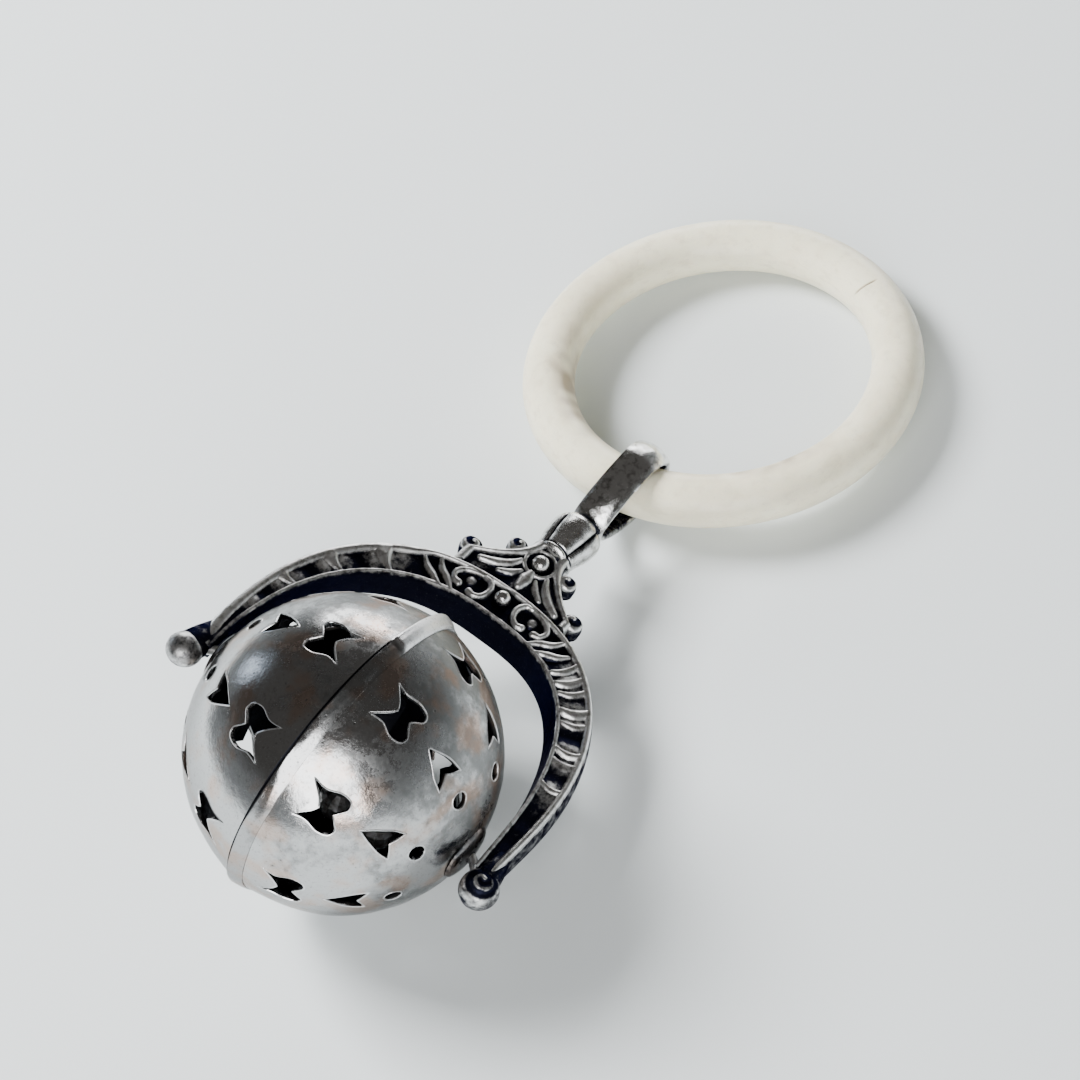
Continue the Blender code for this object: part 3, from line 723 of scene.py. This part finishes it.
def yoke_look():
    """The yoke: a chased face, plain walls and a softly rounded back, swept round the arch."""
    count, across, wall, back = 900, 56, 7, 9
    stations = yoke_stations(count)
    sections = []
    darks = []
    for point, out, arc, along in stations:
        side_name = "left" if point.y > 0 else "right"
        share = along ** 1.6
        width = CROWN_WIDTH + (ARM_WIDTH[side_name] - CROWN_WIDTH) * share
        thick = CROWN_THICK + (ARM_THICK - CROWN_THICK) * share
        slant = INNER_SLANT * (1 - share)
        h = thick / 2
        q = np.linspace(FACE_INSET, width, across)
        relief = yoke_relief(np.full(across, arc), q, width)
        ground = h - min(RELIEF_DEPTH, 0.3 * thick)
        ring = []
        dark = []
        for k in range(wall):  # outer wall, from the back up
            t = k / wall
            bulge = 0.10 * math.sin(math.pi * t)
            ring.append((-FACE_INSET * t ** 1.5 + bulge, -h + 0.35 + (thick - 0.7) * t))
            # painted shade: the outer wall is darkened on the right half of the yoke and low down on the
            # left; the left wall above that is left clean so it shows bright
            dark.append(0.62 if side_name == "right" or t < 0.35 else 0.06)
        for k in range(across):
            ring.append((-q[k], ground + relief[k]))
            dark.append(0.0 if q[k] < FACE_INSET + 0.34 else float(np.clip(1.2 - relief[k] / 0.62, 0, 1)))
        for k in range(1, wall + 1):  # inner wall, down to the back
            t = k / wall
            ring.append((-width - slant * t, ground + 0.1 - (ground + h - 0.25) * t))
            # painted shade: the inner wall, facing the ball, is made near-black
            dark.append(1.0 if t < 0.95 else 0.8)
        for k in range(back):
            t = k / (back - 1)
            round_off = 0.30 * (2 * t - 1) ** 6
            ring.append((-(width + slant - 0.25) * (1 - t) - 0.25 * t, -h + round_off))
            dark.append(0.35)
        sections.append([point + out * o + Vector((0, 0, z)) for o, z in ring])
        darks.append(dark)
    mesh = sleeve("yoke_look", sections, RATTLE, tarnish=darks)
    add_piece("yoke_look", mesh, CAST_SILVER, "silver_cast", "frame", "yoke", sharp=50)


KNOB_CURL = [(0.9, -0.6), (0.2, -1.1), (-0.7, -0.8), (-0.95, 0.1), (-0.4, 0.8), (0.4, 0.55), (0.3, 0.0)]
KNOB_CURL_RADII = [0.2, 0.26, 0.3, 0.3, 0.28, 0.28, 0.34]


def knob_look(side_name, side):
    """The cast end: a ball, the right one with a curled reed chased round its face, and a short throat up
    into the arm.
    """
    around, rows = 72, 48
    radius = KNOB_R[side_name]
    centre = Vector((KNOB_X, side * KNOB_Y[side_name], 0))
    flat = {"left": 0.82, "right": 1.0}[side_name]
    grid, dark = [], []
    for r in range(1, rows):
        lat = math.pi * r / rows - math.pi / 2
        ring, shade = [], []
        for s in range(around):
            lon = 2 * math.pi * s / around
            d = Vector((math.cos(lat) * math.cos(lon), math.cos(lat) * math.sin(lon), math.sin(lat)))
            reach, shadow = radius, 0.46 if side_name == "left" else 0.55
            if side_name == "right" and d.z > 0:
                x, y = np.array([d.x * radius]), np.array([d.y * radius])
                curl = stroke(x, y, KNOB_CURL, KNOB_CURL_RADII, 0.28)[0]
                rim = float(np.clip((math.hypot(d.x, d.y) - 0.72) / 0.15, 0, 1)) * 0.24
                lift = max(curl, rim)
                reach = radius - 0.26 + lift
                shadow = float(np.clip(1.2 - lift / 0.36, 0, 1)) * 0.9
            reach += 0.03 * wander(d * radius, 0.8, 6.0)
            ring.append(centre + Vector((d.x, d.y, d.z * flat)) * reach)
            shade.append(shadow)
        grid.append(ring)
        dark.append(shade)
    mesh = sleeve("knob_" + side_name, grid, RATTLE, tarnish=dark)
    node = "end_knob_" + side_name
    add_piece(node + "_look", mesh, CAST_SILVER, "silver_cast", "frame", node, sharp=60)
    top = Vector((2.4, side * {"left": 19.35, "right": 19.95}[side_name], 0))
    points = [centre.lerp(top, k / 14) for k in range(15)]
    stout = {"left": 1.84, "right": 1.62}[side_name]
    throat = tube_along(points, lambda t: stout * (1 - 0.34 * t ** 2), False, 36)
    squash = {"left": 0.80, "right": 0.95}[side_name]
    throat = [[Vector((p.x, p.y, p.z * squash)) for p in ring] for ring in throat]
    mesh = sleeve("throat_" + side_name, throat, RATTLE, tarnish=np.full((15, 36), 0.72))
    add_piece(f"arm_throat_{side_name}", mesh, CAST_SILVER, "silver_cast", "frame")


# Crest, beads and neck


def crown_edge_x(y):
    half_span = YOKE_HALF_SPAN["left" if y > 0 else "right"]
    rise = (1 - abs(y / half_span) ** YOKE_POWER) ** (1 / YOKE_POWER)
    return YOKE_CENTRE_X + YOKE_RISE * rise - YOKE_LEAN * y * rise


def crest_half_width(x):
    t = np.clip((x - CREST_SHOULDER_X) / (CREST_TOP_X - CREST_SHOULDER_X), 0, 1)
    return CREST_TOP_HALF + (CREST_HALF - CREST_TOP_HALF) * (1 - t) ** 1.8


def crest_relief(x, y):
    """Heights over the crest's ground: a leaf between curved reeds, under the bead's round seat."""
    w = np.abs(y)
    edge = crest_half_width(x) - w
    parts = [0.22 + 0.10 * np.cos(w * 1.3)]
    parts.append(rounded(edge - 0.50, 0.62, 0.84))
    reed = [(33.2, 1.9), (32.1, 2.5), (31.0, 3.7), (30.1, 5.3)]
    parts.append(stroke(x, w, reed, [0.35, 0.62, 0.68, 0.50], 0.74))
    parts.append(stroke(x, w, [(33.0, 0.0), (31.6, 0.0), (30.2, 0.0)], [0.40, 0.92, 0.55], 0.74))
    parts.append(stroke(x, w, [(32.2, 1.0), (31.2, 1.7), (30.3, 2.9)], [0.30, 0.60, 0.40], 0.58))
    away = np.hypot(x - CREST_BEAD_X, y)
    parts.append(rounded(np.abs(away - 1.78), 0.30, 0.56))
    relief = blend_up(parts, 0.06)
    return relief * np.clip((away - 1.2) / 0.35, 0, 1)


def crest_look():
    """The bracket over the crown, chased in front, with its four scrolled side beads."""
    rows, across, wall = 120, 170, 8
    grid, dark = [], []
    h = CREST_THICK / 2
    for r in range(rows):
        t = r / (rows - 1)
        ring, shade = [], []
        ys = np.linspace(-1, 1, across)
        base = np.array([crown_edge_x(y * CREST_HALF) + 0.02 for y in ys])
        x = base + (CREST_TOP_X + 0.35 - base) * t
        half = crest_half_width(np.maximum(x, CREST_SHOULDER_X))
        y = ys * half
        relief = crest_relief(x, y)
        for k in range(across):
            ring.append((x[k], y[k], h - 0.72 + relief[k]))
            shade.append(float(np.clip(1.2 - relief[k] / 0.56, 0, 1)))
        for k in range(1, wall):
            u = k / wall
            ring.append((x[-1], y[-1] + 0.12 * math.sin(math.pi * u), h - 0.6 - (2 * h - 0.6) * u))
            shade.append(0.5)
        for k in range(across - 1, -1, -6):
            ring.append((x[k], y[k], -h))
            shade.append(0.4)
        for k in range(1, wall):
            u = 1 - k / wall
            ring.append((x[0], y[0] - 0.12 * math.sin(math.pi * u), h - 0.6 - (2 * h - 0.6) * u))
            shade.append(0.5)
        grid.append(ring)
        dark.append(shade)
    mesh = sleeve("crest_look", grid, RATTLE, tarnish=dark)
    add_piece("crest_look", mesh, CAST_SILVER, "silver_cast", "frame", "crest", sharp=50)
    for i, (x, y, radius) in enumerate(((31.1, 7.15, 1.42), (35.0, 3.45, 1.3))):
        for side_name, side in (("left", 1), ("right", -1)):
            volute(f"side_bead_{i}_{side_name}", Vector((x, side * y, 0)), radius, side)


def volute(name, centre, radius, side):
    """A little scrolled bead on the crest's side: a rounded drum with a spiral chased on its face."""
    around, rows = 56, 40
    grid, dark = [], []
    for r in range(1, rows):
        lat = math.pi * r / rows - math.pi / 2
        ring, shade = [], []
        for s in range(around):
            lon = 2 * math.pi * s / around
            d = Vector((math.cos(lat) * math.cos(lon), math.cos(lat) * math.sin(lon), math.sin(lat)))
            flat = math.hypot(d.x, d.y)
            wave = 0.0
            if flat < 0.86:
                wave = math.sin(flat * 6.0 + 0.8 + side * math.atan2(d.y, d.x))
            lift = 0.13 * wave
            ring.append(centre + Vector((d.x, d.y, d.z * 1.15)) * (radius + lift - 0.04))
            # painted shade: the drum's sides and underside are darkened; the spiral's hollows on its face
            # carry oxide
            shade.append(float(np.clip(0.6 - wave * 0.6, 0, 1)) if d.z > 0.3 else 0.72)
        grid.append(ring)
        dark.append(shade)
    mesh = sleeve(name, grid, RATTLE, tarnish=dark)
    add_piece(name, mesh, CAST_SILVER, "silver_cast", "frame", sharp=70)


def bead_look(name, x, radius, surface, side):
    """A round bead standing on the metal, darkened at its foot."""
    around, rows = 48, 20
    foot = surface - 0.75
    grid, dark = [], []
    for r in range(rows):
        a = (math.pi / 2) * r / (rows - 0.8)
        height = foot + (surface + 0.68 - foot) * math.sin(a) ** 0.9
        reach = radius * math.cos(a) ** 0.8
        ring = []
        for s in range(around):
            b = 2 * math.pi * s / around
            wobble = 1 + 0.04 * wander((math.cos(b), math.sin(b), r * 0.05), 1.5, x)
            ring.append((x + reach * wobble * math.cos(b), reach * wobble * math.sin(b), side * height))
        grid.append(ring)
        dark.append([float(np.clip(1 - r / 9, 0, 1)) * 0.9] * around)
    mesh = sleeve(name + "_look", grid, RATTLE, tarnish=dark, polish=np.full(np.shape(dark), 0.8))
    add_piece(name + "_look", mesh, CAST_SILVER, "silver_cast", "frame", name, sharp=70)


def neck_look():
    """Four full petals with deep grooves between them, closing in round the bail."""
    rows, around = 90, 160
    start, end = CREST_TOP_X - 0.1, NECK_END_X
    grid, dark = [], []
    for r in range(rows + 1):
        t = r / rows
        x = start + (end - start) * t
        ring, shade = [], []
        for s in range(around):
            a = 2 * math.pi * s / around
            lobe = abs(math.cos(2 * a)) ** 0.35
            body = 2.25 + 0.85 * math.sin(math.pi / 2 * min(1.0, t / 0.72)) ** 1.5
            end_round = math.sqrt(max(0.0, 1 - (max(0.0, t - 0.80) / 0.215) ** 2))
            groove = 0.75 * (1 - lobe) * (0.55 + 0.45 * math.sin(math.pi * t))
            root = 0.32 * math.sin(math.pi * t / 0.12) if t < 0.12 else 0.0
            line = 0.20 * math.exp(-((t - 0.14) / 0.02) ** 2)
            reach = 1.75 + (body - 1.75) * end_round - groove * end_round + root - line
            reach += 0.04 * wander((x, 3 * math.cos(a), 3 * math.sin(a)), 0.9, 3.0)
            ring.append((x, reach * math.cos(a), reach * math.sin(a)))
            # painted shade: the underside of the neck is darkened
            under = 0.5 * max(0.0, 0.1 - math.sin(a))
            shade.append(float(np.clip(groove * 1.5 + line * 5.0 + 14.0 * max(0.0, t - 0.9) + under, 0, 1)))
        grid.append(ring)
        dark.append(shade)
    mesh = sleeve("neck_look", grid, RATTLE, tarnish=dark, polish=np.full(np.shape(dark), 0.6))
    add_piece("neck_look", mesh, CAST_SILVER, "silver_cast", "frame", "neck", sharp=60)


# Bail and ring


def bail_look():
    """A broad strap, domed outside with bevelled edges, bent round and soldered to the neck's rim."""
    steps = 220
    centre_line = []
    for s in range(steps):
        a = 2 * math.pi * s / steps
        behind = max(0.0, -math.cos(a))
        reach = EYE_MID_R if math.cos(a) > 0 else BAIL_TAIL
        squeeze = 1 - 0.3 * behind
        centre_line.append(Vector((EYE_X + reach * math.cos(a), 0, EYE_MID_R * math.sin(a) * squeeze)))
    half_width, half_thick = BAIL_WIDTH / 2, BAIL_THICK / 2
    outline = []
    for k in range(21):  # domed outside, its edges hammered flat
        v = -1 + 2 * k / 20
        dome = 0.12 + (half_thick + 0.02) * (1 - abs(v) ** 2.3)
        outline.append((v * (half_width - 0.06), dome, 0.22 if abs(v) < 0.55 else 0.05))
    outline += [(half_width, -0.05, 0.35), (half_width - 0.10, -half_thick + 0.12, 0.5)]
    for k in range(7):
        v = 1 - 2 * k / 6
        outline.append((v * (half_width - 0.32), -half_thick + 0.05 * (1 - v * v), 0.65))
    outline += [(-half_width + 0.10, -half_thick + 0.12, 0.5), (-half_width, -0.05, 0.35)]
    grid, dark = [], []
    for s, point in enumerate(centre_line):
        ahead = (centre_line[(s + 1) % steps] - centre_line[s - 1]).normalized()
        out = Vector((ahead.z, 0, -ahead.x))
        ring, shade = [], []
        for across, thick, tone in outline:
            p = point + Vector((0, across, 0)) + out * thick
            p += out * (0.09 * wander(p, 0.42, 7.0) + 0.04 * wander(p, 1.1, 3.0)) * (thick > 0)
            ring.append(p)
            shade.append(tone)
        grid.append(ring)
        dark.append(shade)
    mesh = sleeve("bail_look", grid, RATTLE, closed_rows=True, tarnish=dark, polish=np.ones(np.shape(dark)))
    add_piece("bail_look", mesh, CAST_SILVER, "silver_cast", "frame", "bail", sharp=28)


def ring_look():
    """The ring, faintly worn out of round, with one fine check on its inner side and a stain by the bail."""
    around, tube = 360, 72
    check_at = math.radians(-29.6)
    turns = [2 * math.pi * s / around - math.pi for s in range(around)]
    turns += [check_at + math.radians(k * 0.11) for k in range(-9, 10)]
    grid, stain = [], []
    for a in sorted(turns):
        ring, shade = [], []
        for k in range(tube):
            b = 2 * math.pi * k / tube
            wear = 0.05 * wander((RING_R * math.cos(a), RING_R * math.sin(a), 3 * math.sin(b)), 0.10, 2.0)
            r = RING_TUBE_R * (1 - 0.012) + wear
            over = math.cos(b - math.radians(112))  # the check runs over the inner shoulder
            slip = (a - check_at) * RING_R - 0.20 * math.sin(b * 3)
            split = math.exp(-(slip / 0.12) ** 2) * min(1.0, max(0.0, (over - 0.84) / 0.1))
            r -= 0.16 * split
            inside = max(0.0, math.cos(b - math.radians(150)) - 0.45) / 0.55
            stained = 0.9 * inside * math.exp(-((abs(a) - math.radians(130)) / 0.40) ** 2)
            stained *= 0.7 + 1.1 * wander((23 * a, 3 * b, 0), 0.45, 6.0)
            reach = RING_R + r * math.cos(b)
            ring.append((reach * math.cos(a), reach * math.sin(a), r * math.sin(b)))
            shade.append(max(0.95 * split, min(0.8, max(0.0, stained))))
        grid.append(ring)
        stain.append(shade)
    mesh = sleeve("teething_ring_look", grid, RING, closed_rows=True, stain=stain)
    add_piece("teething_ring_look", mesh, IVORY, "ring_ivory", "ring", "teething_ring", sharp=80)


for label, sign in (("left", 1), ("right", -1)):
    cup(label, sign)
    boss_look(label, sign)
    pin_look(label, sign)
    knob_look(label, sign)
seam_band_look()
yoke_look()
crest_look()
for face_label, face in (("front", 1), ("back", -1)):
    bead_look("crown_bead_" + face_label, CROWN_BEAD_X, 0.98, CROWN_THICK / 2, face)
    bead_look("crest_bead_" + face_label, CREST_BEAD_X, 1.12, CREST_THICK / 2, face)
neck_look()
bail_look()
ring_look()
for number in (1, 2, 3):
    shot = frame["nodes"][f"pellet_{number}"]
    for place in shot.material_slots:
        place.material = STEEL


# Stage


def area_light(name, place, target, width, height, power, colour=(1.0, 1.0, 1.0)):
    light = bpy.data.lights.new(name, "AREA")
    light.shape = "RECTANGLE"
    light.size, light.size_y = width, height
    light.energy = power
    light.color = colour
    made = bpy.data.objects.new(name, light)
    bpy.context.scene.collection.objects.link(made)
    made.location = place
    made.rotation_euler = (Vector(target) - Vector(place)).to_track_quat("-Z", "Y").to_euler()
    return made


def build_stage():
    bpy.ops.mesh.primitive_plane_add(size=4.0, location=(0, 0, 0))
    floor = bpy.context.object
    floor.name = "studio_floor"
    n = Nodes("studio_floor_look")
    colour = n.mix(n.noise(0.02, 2.0), (0.74, 0.79, 0.80), (0.77, 0.81, 0.82))
    floor.data.materials.append(n.finish(colour, 0.0, 0.75))
    world = bpy.data.worlds.new("studio")
    bpy.context.scene.world = world
    world.use_nodes = True
    tree = world.node_tree
    back = tree.nodes["Background"]
    place = tree.nodes.new("ShaderNodeTexCoord")
    parts = tree.nodes.new("ShaderNodeSeparateXYZ")
    tree.links.new(place.outputs["Generated"], parts.inputs[0])
    height = tree.nodes.new("ShaderNodeValToRGB")
    tree.links.new(parts.outputs["Z"], height.inputs["Fac"])
    height.color_ramp.elements[0].position = 0.05
    height.color_ramp.elements[0].color = (0.36, 0.38, 0.39, 1.0)
    height.color_ramp.elements[1].position = 0.45
    height.color_ramp.elements[1].color = (0.078, 0.074, 0.070, 1.0)
    tree.links.new(height.outputs["Color"], back.inputs["Color"])
    key = area_light("key", (-0.04, 0.50, 0.50), (0, 0, 0), 0.30, 0.30, 12.8)
    key.visible_glossy = False  # the cards below are what the silver mirrors
    area_light("front_card", (-0.44, -0.28, 0.30), (0, 0, 0.01), 0.42, 0.48, 4.4)
    area_light("far_card", (0.66, 0.30, 0.17), (-0.03, 0, 0.01), 0.55, 0.24, 2.6)
    area_light("window", (0.04, 0.55, 0.25), (-0.04, 0, 0.02), 0.12, 0.15, 0.10, (0.72, 0.84, 1.0))


def build_camera():
    azimuth, elevation, roll = (math.radians(a) for a in (-42.515, 51.024, -15.362))
    back = Vector((
        math.sin(azimuth) * math.cos(elevation), -math.cos(azimuth) * math.cos(elevation), math.sin(elevation)
    ))
    right = Vector((math.cos(azimuth), math.sin(azimuth), 0))
    up = back.cross(right)
    turned_right = right * math.cos(roll) + up * math.sin(roll)
    turned_up = -right * math.sin(roll) + up * math.cos(roll)
    target = Vector((-0.0003, 0.0024, 0.0080))
    place = target + back * 0.400
    camera = bpy.data.cameras.new("camera")
    camera.sensor_width = 36.0
    camera.lens = 118.63
    camera.clip_start = 0.01
    made = bpy.data.objects.new("camera", camera)
    bpy.context.scene.collection.objects.link(made)
    turn = Matrix((turned_right, turned_up, back)).transposed().to_4x4()
    made.matrix_world = Matrix.Translation(place) @ turn
    bpy.context.scene.camera = made


build_stage()
build_camera()
